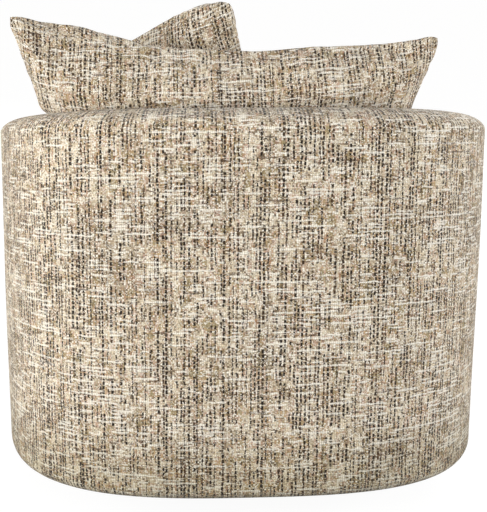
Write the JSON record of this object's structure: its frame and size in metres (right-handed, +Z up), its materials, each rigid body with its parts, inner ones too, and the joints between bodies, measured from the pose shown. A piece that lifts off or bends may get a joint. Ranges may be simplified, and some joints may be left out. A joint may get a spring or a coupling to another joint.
{
  "type": "swivel rocker",
  "caption": "Upholstered barrel swivel rocker with a curved padded shell, loose seat and back cushions and a throw pillow, on a sprung rocker over a turntable and a floor ring.",
  "frame": {"origin": "on the floor, below the middle of the chair as seen from above, which is also the axis that it turns on", "axes": "+Z up; the front of the chair faces -Y; +X is the left hand of someone sitting in the chair"},
  "size_m": [0.89, 0.88, 0.911],
  "materials": {
    "tweed": "matt woven tweed",
    "zip_tape": "woven tape with coil teeth",
    "cushion_filling": "soft foam and fibre",
    "wadding": "polyester wadding over foam",
    "webbing": "woven webbing",
    "dust_cloth": "black non-woven cloth",
    "fibreboard": "plain hardboard",
    "frame_wood": "sawn plywood and softwood",
    "seat_spring_steel": "bright drawn wire",
    "rocker_paint": "satin black powder coat",
    "coil_steel": "oiled spring steel",
    "bearing_steel": "zinc plated",
    "ball_steel": "polished",
    "fastener_steel": "zinc plated",
    "bearing_nylon": "smooth nylon",
    "base_paint": "satin black powder coat",
    "glide_plastic": "matt polythene"
  },
  "bodies": {
    "base": {"floor_glides": "glide_plastic", "base_ring": "base_paint", "base_bars": "base_paint", "lower_bearing_plate": "bearing_steel", "bearing_plate_bolts": "fastener_steel", "bearing_balls": "ball_steel", "ball_cage": "bearing_nylon", "king_bolt": "fastener_steel", "king_nut": "fastener_steel"},
    "turntable": {"swivel_plate": "bearing_steel", "rocker_cradle": "rocker_paint", "cradle_rivets": "fastener_steel", "pivot_bushes": "bearing_nylon"},
    "seat": {"pivot_shaft": "bearing_steel", "shaft_clips": "fastener_steel", "rocker_frame": "rocker_paint", "front_rocker_springs": "coil_steel", "rear_rocker_springs": "coil_steel", "rocker_screws": "fastener_steel", "cross_rails": "frame_wood", "bottom_ring": "frame_wood", "seat_ring": "frame_wood", "lower_posts": "frame_wood", "upper_posts": "frame_wood", "top_rail": "frame_wood", "corner_blocks": "frame_wood", "seat_springs": "seat_spring_steel", "spring_clips": "seat_spring_steel", "deck_pad": "wadding", "outside_board": "fibreboard", "front_board": "fibreboard", "back_webbing": "webbing", "inside_pad": "wadding", "rim_pad": "wadding", "shell_cover": "tweed", "left_arm_front": "tweed", "right_arm_front": "tweed", "front_border": "tweed", "dust_cover": "dust_cloth"},
    "seat_cushion": {"seat_cushion_cover": "tweed", "seat_cushion_zip": "zip_tape", "seat_cushion_core": "cushion_filling"},
    "back_cushion": {"back_cushion_cover": "tweed", "back_cushion_zip": "zip_tape", "back_cushion_fill": "cushion_filling"},
    "throw_pillow": {"throw_pillow_cover": "tweed", "throw_pillow_zip": "zip_tape", "throw_pillow_fill": "cushion_filling"}
  },
  "joints": [
    {"name": "swivel", "type": "hinge", "parent": "base", "child": "turntable", "pos_m": [0, 0, 0.051], "axis": [0, 0, 1], "continuous": true},
    {"name": "rock", "type": "hinge", "parent": "turntable", "child": "seat", "pos_m": [0, 0, 0.13], "axis": [1, 0, 0], "range_deg": [-7, 7], "stiffness_Nm_per_rad": 700, "springref_deg": 2.74, "deforming": ["front_rocker_springs", "rear_rocker_springs"]},
    {"name": "seat_cushion_lift", "type": "slide", "parent": "seat", "child": "seat_cushion", "axis": [0, 0, 1], "range_m": [0, 0.25]},
    {"name": "back_cushion_lift", "type": "slide", "parent": "seat_cushion", "child": "back_cushion", "axis": [0, 0, 1], "range_m": [0, 0.3]},
    {"name": "throw_pillow_lift", "type": "slide", "parent": "back_cushion", "child": "throw_pillow", "axis": [0, -0.6, 0.8], "range_m": [0, 0.25]}
  ]
}
